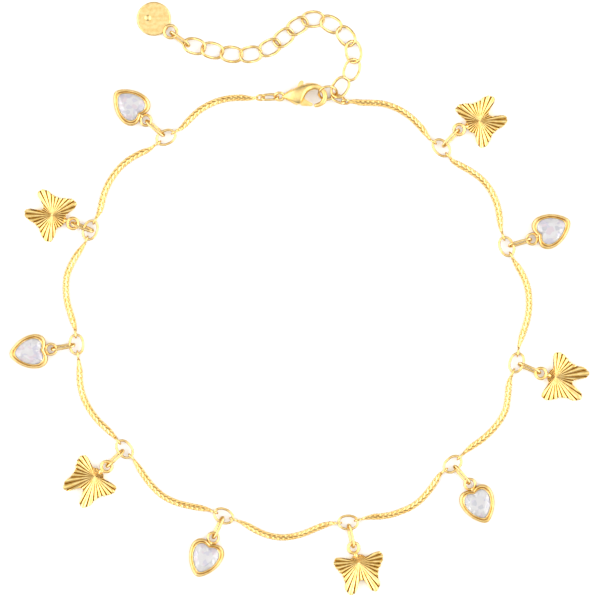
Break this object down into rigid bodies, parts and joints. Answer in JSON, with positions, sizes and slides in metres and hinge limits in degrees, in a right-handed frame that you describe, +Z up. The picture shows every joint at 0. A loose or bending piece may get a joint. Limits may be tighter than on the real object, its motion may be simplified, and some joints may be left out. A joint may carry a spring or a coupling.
{
  "type": "charm anklet",
  "caption": "Fine gold-coloured chain anklet with hanging stone-set heart and fluted butterfly charms, a lobster clasp, and an extender chain with a round tag.",
  "frame": {"origin": "middle of the anklet's outline, on the surface that it lies on", "axes": "+Z up out of the surface; +Y across the loop towards the clasp and the extender, the anklet's longest way; +X across it, to the right with the clasp away from the viewer"},
  "size_m": [0.0965, 0.0988, 0.0026],
  "materials": {
    "gold_plate": "polished gold plate on brass",
    "clear_stone": "clear faceted stone"
  },
  "bodies": {
    "anklet": {"chain_1": "gold_plate", "chain_2": "gold_plate", "chain_3": "gold_plate", "chain_4": "gold_plate", "chain_5": "gold_plate", "chain_6": "gold_plate", "chain_7": "gold_plate", "chain_8": "gold_plate", "chain_9": "gold_plate", "chain_10": "gold_plate", "chain_11": "gold_plate", "ring_1": "gold_plate", "charm_link_1": "gold_plate", "ring_2": "gold_plate", "charm_link_2": "gold_plate", "ring_3": "gold_plate", "charm_link_3": "gold_plate", "ring_4": "gold_plate", "charm_link_4": "gold_plate", "ring_5": "gold_plate", "charm_link_5": "gold_plate", "ring_6": "gold_plate", "charm_link_6": "gold_plate", "ring_7": "gold_plate", "charm_link_7": "gold_plate", "ring_8": "gold_plate", "charm_link_8": "gold_plate", "ring_9": "gold_plate", "charm_link_9": "gold_plate", "ring_10": "gold_plate", "charm_link_10": "gold_plate", "heart_setting_1": "gold_plate", "heart_stone_1": "clear_stone", "heart_setting_3": "gold_plate", "heart_stone_3": "clear_stone", "heart_setting_5": "gold_plate", "heart_stone_5": "clear_stone", "heart_setting_7": "gold_plate", "heart_stone_7": "clear_stone", "heart_setting_9": "gold_plate", "heart_stone_9": "clear_stone", "butterfly_2": "gold_plate", "butterfly_4": "gold_plate", "butterfly_6": "gold_plate", "butterfly_8": "gold_plate", "butterfly_10": "gold_plate", "clasp_body": "gold_plate", "clasp_link": "gold_plate", "end_ring": "gold_plate", "end_oval": "gold_plate", "extender_chain": "gold_plate", "tag_link": "gold_plate", "tag": "gold_plate"},
    "lever": {"clasp_lever": "gold_plate"}
  },
  "joints": [
    {"name": "clasp_lever_hinge", "type": "hinge", "parent": "anklet", "child": "lever", "pos_m": [0, 0.0338, 0.00115], "axis": [0, 0, 1], "range_deg": [0, 25], "stiffness_Nm_per_rad": 0.008, "springref_deg": -17.19}
  ]
}
